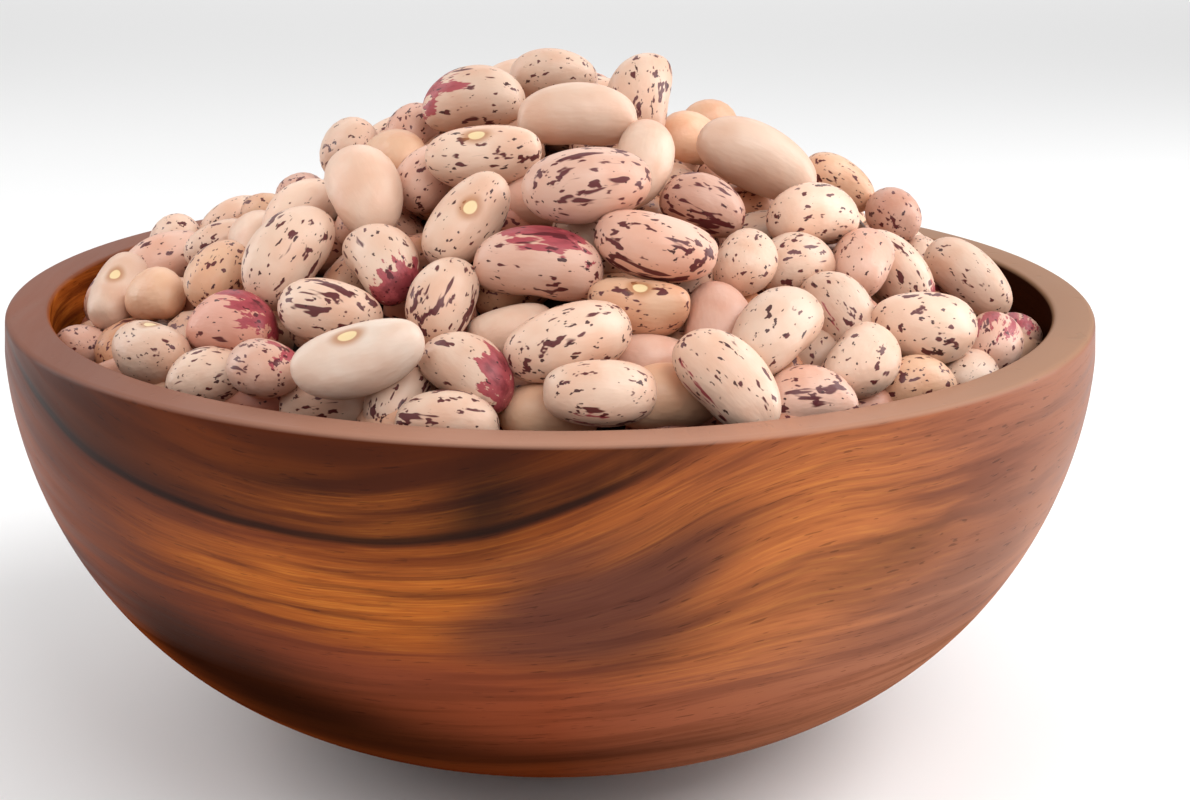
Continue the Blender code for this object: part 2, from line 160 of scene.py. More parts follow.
rim_middle = (0, 0, 0.06)
add_lamp("key", (0.38, -0.5, 0.75), rim_middle, 0.7, 0.5, 4.4)
add_lamp("fill", (-0.5, -0.5, 0.7), rim_middle, 0.5, 0.5, 1.5)
add_lamp("left_edge", (-0.7, 0.25, 0.3), rim_middle, 0.3, 0.8, 2.4)
add_lamp("right_edge", (0.6, 0.12, 0.3), rim_middle, 0.35, 0.8, 4.4)
add_lamp("backdrop", (0, 2.6, 1.6), (0, 2.8, 0), 3.6, 2.4, 32)
sky = bpy.data.worlds.new("sky")
bpy.context.scene.world = sky
sky.use_nodes = True
sky.node_tree.nodes["Background"].inputs["Color"].default_value = (1, 1, 1, 1)
sky.node_tree.nodes["Background"].inputs["Strength"].default_value = 0.52
bpy.context.scene.view_settings.view_transform = "Standard"

# %% [markdown]
# # A short way to write materials
# A material is a tree of nodes, and wiring one by hand takes many lines. This helper adds a
# node, sets its values and joins its inputs in one call, so that each finish below reads as a
# list of what it is made of. Every pattern reads either the place on the piece (Object
# coordinates) or values stored on its mesh, so it stays put when the piece moves.

# %% Material helper
class Finish:
    """A material and a short way to add nodes to it."""

    def __init__(self, name):
        self.material = bpy.data.materials.new(name)
        self.material.use_nodes = True
        self.tree = self.material.node_tree
        self.shader = self.tree.nodes["Principled BSDF"]

    def put(self, socket, value):
        """Joins an output to a socket, or sets its value."""
        if isinstance(value, bpy.types.NodeSocket):
            self.tree.links.new(value, socket)
        else:
            socket.default_value = value

    def add(self, kind, *inputs, out=0, **settings):
        """Adds a node, fills its sockets in order, and gives one of its outputs."""
        node = self.tree.nodes.new(kind)
        for key, value in settings.items():
            setattr(node, key, value)
        for socket, value in zip(node.inputs, inputs):
            self.put(socket, value)
        return node.outputs[out]

    def fill(self, values):
        """Fills the shader's sockets, given by name."""
        for name, value in values.items():
            self.put(self.shader.inputs[name], value)

    def math(self, operation, *values):
        return self.add("ShaderNodeMath", *values, operation=operation)

    def times(self, first, second):
        return self.math("MULTIPLY", first, second)

    def vector(self, operation, *values, out=0):
        return self.add("ShaderNodeVectorMath", *values, operation=operation, out=out)

    def stored(self, name, out="Fac"):
        return self.add("ShaderNodeAttribute", attribute_name=name, out=out)

    def step(self, value, low, high):
        """0 below low, 1 above high, and smooth between."""
        return self.add(
            "ShaderNodeMapRange", value, low, high, 0.0, 1.0, interpolation_type="SMOOTHSTEP"
        )

    def mix(self, share, first, second, blend="MIX"):
        node = self.tree.nodes.new("ShaderNodeMix")
        node.data_type, node.blend_type = "RGBA", blend
        self.put(node.inputs["Factor"], share)
        for socket, value in ((node.inputs[6], first), (node.inputs[7], second)):
            self.put(socket, (*value, 1) if isinstance(value, tuple) and len(value) == 3 else value)
        return node.outputs[2]

    def noise(self, place, scale, detail=2.0, roughness=0.5, out="Factor"):
        """Noise, stretched where scale has a value for each axis. Its other output is "Color"."""
        if isinstance(scale, tuple):
            place, scale = self.vector("MULTIPLY", place, scale), 1.0
        node = self.tree.nodes.new("ShaderNodeTexNoise")
        self.put(node.inputs["Vector"], place)
        self.put(node.inputs["Scale"], scale)
        self.put(node.inputs["Detail"], detail)
        self.put(node.inputs["Roughness"], roughness)
        return node.outputs[0 if out == "Factor" else 1]

    def bump(self, height, strength, distance):
        node = self.tree.nodes.new("ShaderNodeBump")
        self.put(node.inputs["Strength"], strength)
        self.put(node.inputs["Distance"], distance)
        self.put(node.inputs["Height"], height)
        return node.outputs["Normal"]


def from_srgb(red, green, blue):
    """A colour read off a picture, from 0 to 255, as the linear values that Blender works in."""
    def linear(v):
        v = v / 255
        return v / 12.92 if v <= 0.04045 else ((v + 0.055) / 1.055) ** 2.4

    return (linear(red), linear(green), linear(blue))


print("a mid grey is", [round(v, 3) for v in from_srgb(128, 128, 128)])

# %% [markdown]
# # The bowl's shape
# The real bowl was turned on a lathe from one block, so its shape is one outline spun round the
# middle: a round belly fuller than half a ball, a narrow foot with a small step, a flat rim with
# softened edges, and a smooth inside. The Screw modifier or a lathe of vertices can both spin
# it. Here the rings are written out, because each point then also gets values for the grain.

# %% The bowl's outline
RIM_RADIUS = 77.5 * MM
RIM_WIDTH = 6.0 * MM
RIM_SOFTNESS = 0.9 * MM
BASE_THICKNESS = 8.6 * MM
BULGE_DEPTH = 5.0 * MM
BULGE = 0.3 * MM
HULL_DEPTH = 63.5 * MM
HULL_FULLNESS = 2.9
HULL_ROUNDNESS = 1.85
FOOT_RADIUS = 27.5 * MM
FOOT_STEP = 1.2 * MM
FOOT_SOFTNESS = 0.4 * MM
HULL_STEPS, CORNER_STEPS, INNER_STEPS = 60, 5, 36


def inner_radius(z):
    """Radius of the bowl's inside at height z: upright at the rim, then half an ellipse."""
    depth = BOWL_HEIGHT - BULGE_DEPTH - BASE_THICKNESS
    share = np.clip((BOWL_HEIGHT - BULGE_DEPTH - z) / depth, 0, 0.9999)
    return (RIM_RADIUS - RIM_WIDTH) * np.sqrt(1 - share**2)


def bowl_outline():
    """Radius and height, from the middle of the foot round to the middle of the inside."""
    widest = RIM_RADIUS + BULGE
    end = 1 - ((FOOT_RADIUS + FOOT_STEP) / widest) ** HULL_FULLNESS
    end = end ** (1 / HULL_ROUNDNESS)
    outside = []
    for step in range(HULL_STEPS + 1):
        part = math.sin(math.radians(90 * (1 - step / HULL_STEPS))) * end
        radius = widest * (1 - part**HULL_ROUNDNESS) ** (1 / HULL_FULLNESS)
        outside.append((radius, BOWL_HEIGHT - BULGE_DEPTH - (HULL_DEPTH - BULGE_DEPTH) * part))
    step_top = outside[0][1]
    line = [
        (0, 0), (FOOT_RADIUS / 2, 0), (FOOT_RADIUS - FOOT_SOFTNESS, 0),
        (FOOT_RADIUS - 0.25 * FOOT_SOFTNESS, 0.3 * FOOT_SOFTNESS), (FOOT_RADIUS, FOOT_SOFTNESS),
        (FOOT_RADIUS, step_top - 0.9 * MM), (FOOT_RADIUS + 0.3 * MM, step_top - 0.25 * MM),
    ]
    line += outside
    outer, inner = RIM_RADIUS - RIM_SOFTNESS, RIM_RADIUS - RIM_WIDTH + RIM_SOFTNESS
    for centre, start in ((outer, 0), (inner, 90)):
        for step in range(CORNER_STEPS + 1):
            turn = math.radians(start + 90 / CORNER_STEPS * step)
            z = BOWL_HEIGHT - RIM_SOFTNESS * (1 - math.sin(turn))
            line.append((centre + RIM_SOFTNESS * math.cos(turn), z))
    depth = BOWL_HEIGHT - BULGE_DEPTH - BASE_THICKNESS
    for step in range(1, INNER_STEPS):
        z = BOWL_HEIGHT - BULGE_DEPTH - depth * math.sin(math.radians(90 * step / INNER_STEPS))
        line.append((float(inner_radius(z)), z))
    return line + [(0, BASE_THICKNESS)]


def ring_points(radius, z, sides):
    angles = 2 * math.pi * np.arange(sides) / sides
    return [(radius * math.cos(a), radius * math.sin(a), z) for a in angles]


def ring_faces(rings, sides):
    """Faces of a closed shape: its first point, rings of points, and its last point."""
    last, top = 1 + rings * sides, 1 + (rings - 1) * sides
    faces = []
    for k in range(sides):
        after = (k + 1) % sides
        faces.append((0, 1 + after, 1 + k))
        for low in range(1, top, sides):
            high = low + sides
            faces.append((low + k, low + after, high + after, high + k))
        faces.append((top + k, top + after, last))
    return faces


def turned(outline, sides):
    """Points and faces of a closed turned shape, whose outline starts and ends on the axis."""
    points = [(0, 0, outline[0][1])]
    for radius, z in outline[1:-1]:
        points += ring_points(radius, z, sides)
    points.append((0, 0, outline[-1][1]))
    return points, ring_faces(len(outline) - 2, sides)


BOWL_SIDES = 240
bowl = make_mesh("turned_bowl", *turned(bowl_outline(), BOWL_SIDES))
bowl.data.shade_smooth()
bowl_points = np.array([v.co for v in bowl.data.vertices])
print("bowl", len(bowl.data.polygons), "faces")

# %% [markdown]
# # The run of the grain
# Wood is a stack of growth layers, and a bowl cuts through them, so each layer shows as a curve:
# here they sink from both sides to a lowest place left of the middle, like a slack rope. An
# image could be wrapped round the bowl, or the layers could be worked out in space. The second
# way makes the outside, rim and inside agree, so each point stores how deep its layer lies.

# %% Growth layers
RISE_EASES, RISE_ENDS = 15, 36      # mm across from the middle
FLAT_STARTS, FLAT_ENDS = 6, 30      # mm below the rim
FLATTER = 0.72


def layer_of(x, depth):
    """Which growth layer a place belongs to, by its x and its depth below the rim, all in mm.

    From a lowest place left of the middle the layers rise to both sides, ever faster, and at the
    right the rise eases off. Low down they lie flatter.
    """
    near = np.clip(x, None, RISE_EASES)
    past = np.clip(x - RISE_EASES, 0, RISE_ENDS - RISE_EASES)
    rise = 0.388 * near + 0.0067 * near**2 + 0.5 * past - 0.0119 * past**2
    low = np.clip((depth - FLAT_STARTS) / (FLAT_ENDS - FLAT_STARTS), 0, 1)
    return depth + rise * (1 - FLATTER * low**2 * (3 - 2 * low))


def on_bowl(across, down):
    """The place on the bowl's outside that shows at a pixel of the photograph."""
    line = sight_line(across, down, 180 * MM, 330 * MM, 2000)
    part = np.clip((BOWL_HEIGHT - BULGE_DEPTH - line[:, 2]) / (HULL_DEPTH - BULGE_DEPTH), 0, 1)
    hull = (RIM_RADIUS + BULGE) * (1 - part**HULL_ROUNDNESS) ** (1 / HULL_FULLNESS)
    inside = (np.hypot(line[:, 0], line[:, 1]) < hull) & (line[:, 2] < BOWL_HEIGHT)
    if not inside.any():
        raise ValueError(f"pixel {across}, {down} misses the bowl")
    return line[int(np.argmax(inside))]


spot = bowl_points / MM
layer = layer_of(spot[:, 0], BOWL_HEIGHT / MM - spot[:, 2])
print("layers from", round(float(layer.min())), "to", round(float(layer.max())), "mm")

# %% [markdown]
# # Marks in the wood
# What makes this piece of wood its own is where it darkens: a thin dark line that follows one
# layer, smoky clouds, golden patches on both sides of them and a redder foot. Painted shade
# darkens the bottom and the inside at the right, and painted light makes the right side paler and
# the inside golden at the left. They could be painted in an image, but soft ovals are enough, each
# laid along the grain at its place in the photograph. The side that isn't shown gets the same
# marks, half a turn on.

# %% Stains, golden patches, painted light and painted shade
# Across and down are pixels of the photograph, along and over the oval's reach in mm
Mark = namedtuple("Mark", "across down along over strength")
# Dark stains, and painted shade: the marks from 620 pixels down lie along the bottom, most of all
# at its left
DARK_MARKS = [
    Mark(485, 508, 3.6, 4, 0.85), Mark(290, 480, 6, 1.2, 0.4), Mark(640, 462, 9, 2.0, 0.6),
    Mark(110, 430, 10, 5, 0.55), Mark(200, 445, 12, 3, 0.3), Mark(60, 400, 9, 7, 0.4),
    Mark(330, 716, 12, 5, 0.85), Mark(245, 668, 8, 5, 0.75), Mark(170, 625, 7, 5, 0.6),
    Mark(185, 650, 8, 5, 0.8), Mark(275, 700, 9, 4, 0.75), Mark(690, 532, 5, 2.5, 0.15),
    Mark(400, 745, 16, 3, 0.7), Mark(560, 760, 20, 2, 0.6), Mark(905, 540, 6, 0.8, 0.45),
    Mark(860, 575, 8, 0.8, 0.4), Mark(170, 500, 7, 3, 0.4), Mark(220, 500, 8, 1.6, 0.3),
    Mark(560, 462, 16, 3.2, 0.4), Mark(395, 462, 14, 3.2, 0.3), Mark(290, 455, 12, 2.5, 0.2),
]
SMOKE_MARKS = [
    Mark(560, 592, 7, 4.5, 0.95), Mark(610, 645, 10, 4, 0.75), Mark(690, 535, 7, 3.5, 0.4),
    Mark(490, 640, 5, 3, 0.5), Mark(630, 598, 7, 4, 0.7), Mark(960, 470, 12, 12, 0.3),
    Mark(870, 650, 14, 6, 0.25), Mark(100, 520, 12, 9, 0.4), Mark(1000, 560, 10, 14, 0.4),
]
GOLD_MARKS = [
    Mark(330, 590, 17, 4.2, 0.8), Mark(400, 622, 13, 3.2, 0.9), Mark(250, 565, 9, 3, 0.5),
    Mark(395, 520, 11, 2.2, 0.65), Mark(480, 565, 7, 2.5, 0.6), Mark(770, 575, 13, 3.4, 0.95),
    Mark(700, 640, 11, 2.5, 0.7), Mark(860, 535, 13, 3.2, 0.8), Mark(800, 470, 13, 5, 0.5),
    Mark(760, 618, 12, 2.8, 0.9), Mark(620, 520, 8, 3.5, 0.6), Mark(780, 520, 14, 4, 0.7),
    Mark(880, 480, 10, 6, 0.35), Mark(770, 665, 10, 3, 0.5), Mark(780, 590, 11, 3.5, 0.95),
    Mark(465, 605, 8, 3, 0.8), Mark(400, 600, 10, 3, 0.9), Mark(350, 505, 14, 1.8, 0.5),
    Mark(630, 555, 6, 2.5, 0.6), Mark(130, 560, 6, 3, 0.15),
]
RED_MARKS = [
    Mark(430, 690, 26, 6, 0.9), Mark(600, 720, 26, 6, 0.95), Mark(740, 690, 18, 6, 0.8),
    Mark(720, 480, 14, 6, 0.4), Mark(190, 520, 10, 4, 0.6), Mark(250, 640, 14, 5, 0.5),
    Mark(950, 400, 12, 9, 0.6), Mark(800, 690, 16, 6, 0.4),
]
FAR_SIDE_STRENGTH = 0.8


def ramp(values, start, end, low=0, high=1):
    """0 at start and 1 at end, kept between low and high."""
    return np.clip((values - start) / (end - start), low, high)


def marks_on_bowl(marks):
    """How strongly the marks show at each point of the bowl, from 0 to 1."""
    clear = np.ones(len(spot))
    for mark in marks:
        x, y, z = on_bowl(mark.across, mark.down) / MM
        for turn, strength in ((1, mark.strength), (-1, FAR_SIDE_STRENGTH * mark.strength)):
            along = np.hypot(spot[:, 0] - turn * x, spot[:, 1] - turn * y) / mark.along
            over = (layer - layer_of(turn * x, BOWL_HEIGHT / MM - z)) / mark.over
            clear *= 1 - strength * np.exp(-(along**2 + over**2) / 2)
    return 1 - clear


def store(thing, name, values):
    """Stores one number, or three, at each point of a mesh, for its material to read."""
    kind = "FLOAT" if np.ndim(values) == 1 else "FLOAT_VECTOR"
    attribute = thing.data.attributes.new(name, kind, "POINT")
    field = "value" if kind == "FLOAT" else "vector"
    attribute.data.foreach_set(field, np.ascontiguousarray(values, np.float32).ravel())


x, y, z = spot.T
inner_wall = inner_radius(bowl_points[:, 2]) / MM + 0.5
inside = (np.hypot(x, y) < inner_wall) & (z > BASE_THICKNESS / MM - 0.5)
front_x = np.where(y < 0, x, -x)
for name, on_inside, outside in (
    # Painted light and shade inside: golden at the left, where the light falls, and dark to the
    # right
    ("dark", ramp(x, -12.5, 37.5, high=0.97), marks_on_bowl(DARK_MARKS)),
    ("gold", ramp(x, 0, -40, high=0.55), marks_on_bowl(GOLD_MARKS)),
    ("smoke", 0, marks_on_bowl(SMOKE_MARKS)),
    # The dark line runs over the left and the middle and fades at its right end
    ("line", 0, ramp(front_x, 16, 4) * ramp(front_x, -76, -66)),
    ("gloss", 0, ramp(z, 29, 49)),
):
    store(bowl, name, np.where(inside, on_inside, outside))
store(bowl, "grain", np.column_stack([x, y, layer]))
store(bowl, "red", marks_on_bowl(RED_MARKS))
# Painted light: the wood is paler towards the right, most of all low down at the front
pale_side = ramp(x, 0, 62) * ramp(y, 8, -32, low=0.3)
store(bowl, "painted_light", pale_side * ramp(z, 75, 35, low=0.5))
top = BOWL_HEIGHT / MM
store(bowl, "rim", ramp(z, top - 0.6, top - 0.2))
print("marks", len(DARK_MARKS + SMOKE_MARKS + GOLD_MARKS + RED_MARKS))

# %% [markdown]
# # Polished wood
# The bowl is a dark, oiled and polished hardwood: red-brown, with golden streaks where the light
# catches the fibres, darker lines between the layers, and fine short pores. A flat brown with a
# gloss would look like plastic. So four noises are stretched along the layers, from broad bands
# to pores, and the marks tint them. A thin clear coat over a rougher base gives the polish.

# %% Wood finish
wood = Finish("polished_wood")
place = wood.stored("grain", "Vector")
waver = wood.noise(place, (0.035, 0.035, 0.08), out="Color")
waver = wood.vector("MULTIPLY", wood.vector("SUBTRACT", waver, (0.5, 0.5, 0.5)), (4.0, 4.0, 2.4))
grain = wood.vector("ADD", place, waver)
broad = wood.noise(grain, (0.018, 0.018, 0.16))
streaks = wood.noise(grain, (0.03, 0.03, 0.62), 4.0, 0.55)
fibres = wood.noise(grain, (0.12, 0.12, 3.6), 3.0, 0.6)
pores = wood.noise(grain, (0.35, 0.35, 4.0), 1.0)

brown, light_brown = from_srgb(90, 36, 12), from_srgb(130, 60, 20)
red_brown, painted_light_colour = from_srgb(148, 74, 48), from_srgb(192, 136, 108)
golden, honey = from_srgb(180, 96, 36), from_srgb(214, 132, 52)
smoky, near_black = from_srgb(84, 48, 42), from_srgb(22, 8, 4)
dark_streak, dark_fibre = from_srgb(80, 37, 18), from_srgb(62, 28, 12)
rim_left, rim_centre = from_srgb(134, 88, 72), from_srgb(182, 136, 114)
rim_right = from_srgb(158, 122, 96)

# The ground, from brown to light brown, redder at the foot and golden in places; the gold inside at
# the left and the paler right side are painted light
colour = wood.mix(wood.step(broad, 0.35, 0.68), brown, light_brown)
colour = wood.mix(wood.times(wood.stored("red"), 0.8), colour, red_brown)
gold = wood.stored("gold")
gold = wood.times(gold, wood.step(wood.math("ADD", streaks, wood.times(gold, 0.21)), 0.4, 0.72))
colour = wood.mix(gold, colour, golden)
colour = wood.mix(wood.times(gold, wood.times(wood.step(fibres, 0.45, 0.75), 0.6)), colour, honey)
colour = wood.mix(wood.times(wood.stored("painted_light"), 0.72), colour, painted_light_colour)

# Clouds, darker streaks, dark stains, and painted shade along the bottom and inside at the right
cloud = wood.math("ADD", wood.stored("smoke"), wood.times(wood.math("SUBTRACT", broad, 0.5), 1.2))
colour = wood.mix(wood.times(wood.step(cloud, 0.13, 0.98), 0.86), colour, smoky)
colour = wood.mix(wood.times(wood.step(streaks, 0.56, 0.36), 0.3), colour, dark_streak)
colour = wood.mix(wood.times(wood.stored("dark"), 0.95), colour, near_black)

# The dark line between two layers, with a smoky band over it, then fibres and pores
deep = wood.add("ShaderNodeSeparateXYZ", grain, out=2)
line = wood.times(wood.step(deep, 6.3, 7.6), wood.step(deep, 8.8, 7.9))
band = wood.times(wood.times(wood.step(deep, 2.0, 7.0), wood.step(deep, 8.6, 7.6)), 0.45)
line = wood.times(wood.math("MAXIMUM", line, band), wood.stored("line"))
colour = wood.mix(wood.times(line, 0.85), colour, near_black)
colour = wood.mix(wood.times(wood.step(fibres, 0.45, 0.3), 0.2), colour, dark_fibre)
colour = wood.mix(wood.times(wood.step(pores, 0.33, 0.27), 0.38), colour, near_black)

# The rim is worn pale, most of all in its middle
across = wood.add("ShaderNodeSeparateXYZ", place, out=0)
worn = wood.mix(wood.step(across, -62.0, -5.0), rim_left, rim_centre)
worn = wood.mix(wood.step(across, 15.0, 68.0), worn, rim_right)
colour = wood.mix(wood.times(wood.stored("rim"), 0.75), colour, worn)

gloss = wood.stored("gloss")
relief = wood.math("ADD", wood.times(fibres, 0.5), wood.step(pores, 0.27, 0.33))
wood.fill({
    "Base Color": colour,
    "Roughness": wood.add("ShaderNodeMapRange", streaks, 0.3, 0.7, 0.38, 0.5),
    "Coat Weight": wood.times(gloss, 0.05),
    "Coat Roughness": 0.16,
    "Specular IOR Level": wood.times(gloss, 0.06),
    "Normal": wood.bump(relief, 0.2, 0.0001),
})
bowl.data.materials.append(wood.material)
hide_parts("bowl")
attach(bowl, "root")
print("wood nodes", len(wood.tree.nodes))

# %% [markdown]
# # The beans that the photograph shows
# Dried beans are poured, so no two lie alike, and a rule alone would not give this heap. Each of
# the sixty-nine that show is listed, with its middle in the photograph, its turn, its length and
# its look. The alternative, a physics drop, would give a heap of the right kind but never this
# one. The rest of the heap, which the photograph hides, follows a rule further down.

# %% List of beans
# Across and down are pixels of the photograph, and length and lift (above the heap's surface) are
# mm. Turn, seam and patch are degrees in the picture. At stand 0 a bean lies flat on the heap, and
# towards 1 it turns square to the line of sight. Spread enlarges its patch, and slim narrows it.
Bean = namedtuple(
    "Bean", "across down turn length lift kind tint seam stand patch spread slim",
    defaults=(0, "speckled", "cream", None, 0, None, 1.0, 1.0),
)
FRONT_BEANS = [
    Bean(553, 76, -4, 12.5, 1.5, "flecked"),
    Bean(474, 104, 4, 15, 1, "patched", patch=150, spread=0.8),
    Bean(578, 123, 0, 16, 2, "plain", slim=0.92),
    Bean(643, 106, 82, 14, stand=0.9),
    Bean(640, 163, 75, 13, 1, "plain", stand=0.5),
    Bean(588, 187, 8, 16.5, 2, "streaked", "pink"),
    Bean(487, 162, -2, 15.5, 1, seam=40, slim=0.9),
    Bean(466, 222, 55, 15, 2, "flecked", seam=60, stand=0.3),
    Bean(433, 185, 50, 12, -1, "patched", "pink", patch=10, spread=0.8),
    Bean(363, 195, -62, 16, 1, "plain", stand=0.4),
    Bean(350, 150, 15, 13, kind="flecked"),
    Bean(412, 132, 60, 12, -1, tint="rose"),
    Bean(395, 158, -20, 12, -1, "plain", "tan"),
    Bean(305, 192, -60, 12, -1, tint="rose"),
    Bean(290, 258, 60, 15.5, 1, stand=0.4),
    Bean(380, 265, -50, 13.5, 1, "patched", patch=-45, spread=0.85),
    Bean(445, 303, 70, 12.5, 1, "streaked", stand=0.3),
    Bean(540, 276, -8, 16, 1, "patched", "pink", patch=80, spread=1.05),
    Bean(655, 247, -14, 15.5, 2, "streaked", "pink"),
    Bean(703, 207, -20, 11.5, kind="streaked", tint="rose"),
    Bean(757, 163, -25, 17.5, 1, "plain", slim=0.93),
    Bean(813, 224, 8, 15, 1),
    Bean(743, 265, 50, 11.5, kind="flecked"),
    Bean(893, 215, -65, 12, tint="rose"),
    Bean(862, 266, 55, 13.5, kind="flecked", tint="pink"),
    Bean(967, 278, -45, 15, 1, "flecked"),
    Bean(640, 308, -10, 12.5, tint="tan", seam=50),
    Bean(773, 332, 40, 15, 2, "flecked"),
    Bean(922, 330, -4, 16.5, 1),
    Bean(570, 348, 22, 16, 1),
    Bean(600, 392, 0, 13, 2, "patched", patch=-90, spread=0.75),
    Bean(465, 378, -30, 13, 1, "patched", patch=10, spread=0.9),
    Bean(450, 418, 0, 12, -2, "streaked"),
    Bean(398, 402, 60, 12, -2, "streaked"),
    Bean(360, 363, 15, 16, 2, "plain", "white", 70, slim=0.88),
    Bean(328, 312, -10, 14, 1, "streaked"),
    Bean(233, 330, -5, 13.5, kind="patched", tint="salmon", patch=60, spread=0.9),
    Bean(272, 374, -20, 11, kind="patched", tint="pink", patch=60, spread=0.75),
    Bean(153, 357, -15, 13, 1, "flecked", seam=50),
    Bean(208, 383, 10, 11, -1, "streaked"),
    Bean(155, 297, 0, 11, -1, "plain", "tan"),
    Bean(219, 275, 70, 12, tint="tan"),
    Bean(118, 295, 80, 13.5, kind="plain", seam=90, stand=0.5),
    Bean(175, 240, 10, 12),
    Bean(236, 222, 30, 12, kind="flecked"),
    Bean(270, 215, 0, 11, -1, tint="tan"),
    Bean(88, 345, 0, 11, -3, tint="rose"),
    Bean(330, 412, 0, 12, -3),
    Bean(548, 415, 0, 12, -3, "plain", "tan"),
    Bean(672, 413, 0, 12.5, -2, "plain", "tan"),
    Bean(725, 392, -38, 15, 1, "patched", patch=225, spread=0.85, slim=0.93),
    Bean(655, 368, 0, 12, -3, "plain", "pink"),
    Bean(708, 327, 80, 13, -1, "plain", "rose"),
    Bean(808, 397, 10, 12, kind="streaked", tint="pink"),
    Bean(858, 367, 50, 13.5, 1, "flecked"),
    Bean(915, 390, 0, 11.5, -1, tint="tan"),
    Bean(990, 350, 60, 12, -1, "patched", "pink", patch=90),
    Bean(797, 275, 10, 12, -1),
    Bean(840, 312, -50, 12, -1, "patched", patch=200, spread=0.8),
    Bean(513, 325, 20, 11, -3, "plain"),
    Bean(590, 238, -40, 12, -2, "streaked"),
    Bean(690, 290, 60, 11, -2),
    Bean(838, 182, -30, 12, -1, tint="tan"),
    Bean(690, 140, 0, 11, -2, "plain", "tan"),
    Bean(708, 125, 0, 12, -1, "plain", "tan"),
    Bean(540, 207, 0, 12, -2, "plain", "pink"),
    Bean(920, 262, 60, 11, -2),
    Bean(965, 372, 30, 11, -2),
    Bean(1012, 335, 60, 11, -3, "patched", "rose", patch=90),
]
print("beans listed", len(FRONT_BEANS))

# %% [markdown]
# # Where the beans lie
# The solid heap was shaped by a rule, and the same rule is run again here, so that every bean
# lies where the solid has its bump. The top beans' middles lie on a low cone with a rounded tip,
# a dip on the left and a hollow on the right. Each listed bean starts where its line of sight
# meets that cone, and a sunflower spiral fills in the side that the photograph doesn't show.

# %% Starting places
HEAP_TOP = 30.0 * MM
HEAP_SPREAD = 65.0 * MM
HEAP_POWER = 1.2
HEAP_TIP = 9.0 * MM
DENT_X, DENT_Y = -40 * MM, 6 * MM
DENT_SIZE, DENT_DEPTH = 12 * MM, 4.5 * MM
HOLLOW_X, HOLLOW_Y = 67 * MM, 10 * MM
HOLLOW_SIZE, HOLLOW_DEPTH = 9 * MM, 9 * MM
REACH = 66 * MM
GAP = 0.45 * MM
SPIRAL_PLACES = 140
SPACING = 10.5 * MM
SUNK = 2.5 * MM


def unit(vectors):
    return vectors / np.sqrt((vectors * vectors).sum(-1))[..., None]


def heap_height(x, y):
    """Height of the heap's surface, through the middles of the beans that lie on it."""
    out = np.sqrt(x * x + y * y + HEAP_TIP**2) - HEAP_TIP
    far = ((x - DENT_X) ** 2 + (y - DENT_Y) ** 2) / DENT_SIZE**2
    cone = HEAP_TOP * (1 - (out / (HEAP_SPREAD - 0.9 * HEAP_TIP)) ** HEAP_POWER)
    return BOWL_HEIGHT + cone - DENT_DEPTH * np.exp(-far / 2) - hollow(x, y)


def hollow(x, y):
    far = ((x - HOLLOW_X) ** 2 + (y - HOLLOW_Y) ** 2) / HOLLOW_SIZE**2
    return HOLLOW_DEPTH * np.exp(-far / 2)


def heap_normal(x, y):
    step = 0.5 * MM
    rise_x = (heap_height(x + step, y) - heap_height(x - step, y)) / (2 * step)
    rise_y = (heap_height(x, y + step) - heap_height(x, y - step)) / (2 * step)
    normal = np.array([-rise_x, -rise_y, 1.0])
    return normal / np.linalg.norm(normal)


def on_heap(across, down, lift):
    """Where the line of sight through a pixel first meets the heap, or passes nearest to it."""
    line = sight_line(across, down, VIEW_DISTANCE - 80 * MM, VIEW_DISTANCE + 75 * MM, 1200)
    above = line[:, 2] - heap_height(line[:, 0], line[:, 1]) - lift
    inside = np.hypot(line[:, 0], line[:, 1]) < RIM_RADIUS
    hits = np.nonzero((above <= 0) & inside)[0]
    return line[hits[0] if len(hits) else int(np.argmin(above))]


def spiral_place(k, count, reach, start=0.0):
    """The k-th of count places that a sunflower spiral spreads evenly over a round area."""
    out = reach * math.sqrt((k + 0.5) / count)
    angle = k * math.pi * (3 - math.sqrt(5)) + start
    return out * math.cos(angle), out * math.sin(angle)


def columns(places):
    """The places' middles, directions, lengths, lifts and ties, each in an array of its own."""
    middles, alongs, lengths, lifts, tied = (np.array(column) for column in zip(*places))
    return middles, unit(alongs), lengths, lifts, tied[:, None]


def first_places():
    """Middle, direction, length, lift and whether it is tied to the photograph, for each bean."""
    places = []
    for bean in FRONT_BEANS:
        middle = on_heap(bean.across, bean.down, bean.lift * MM)
        turn = math.radians(bean.turn)
        flat = SIDE * math.cos(turn) + TOP * math.sin(turn)
        normal = heap_normal(middle[0], middle[1])
        along = flat - AHEAD * (flat @ normal) / (AHEAD @ normal) * (1 - bean.stand)
        places.append((middle, along, bean.length * MM, bean.lift * MM, 1.0))
    draw = random.Random(11)
    front = np.array([place[0] for place in places])
    for k in range(SPIRAL_PLACES):
        x, y = spiral_place(k, SPIRAL_PLACES, REACH)
        crowded = np.hypot(front[:, 0] - x, front[:, 1] - y).min() < SPACING
        if crowded or hollow(x, y) > 3 * MM:
            continue
        normal = heap_normal(x, y)
        first = np.cross(normal, (1.0, 0, 0))
        second = np.cross(normal, first)
        turn = draw.uniform(0, math.pi)
        along = first * math.cos(turn) + second * math.sin(turn)
        along = along + normal * draw.uniform(-0.25, 0.25)
        middle = np.array([x, y, heap_height(x, y) - SUNK])
        length, lift = draw.uniform(12, 15.5), draw.uniform(-3.5, -1.5)
        places.append((middle, along, length * MM, lift * MM, 0.0))
    return columns(places)


starts = first_places()
print("beans on top", len(starts[0]))

# %% [markdown]
# # Settling
# Beans put down one by one on a cone would cut through each other. In a real bowl they slide
# until they only touch. Blender's own rigid bodies could do this, but they would let the beans
# roll away from their places in the photograph. This small settling treats a bean as seven balls
# on a rod, pushes overlapping balls apart, and keeps drawing each bean back to its place.

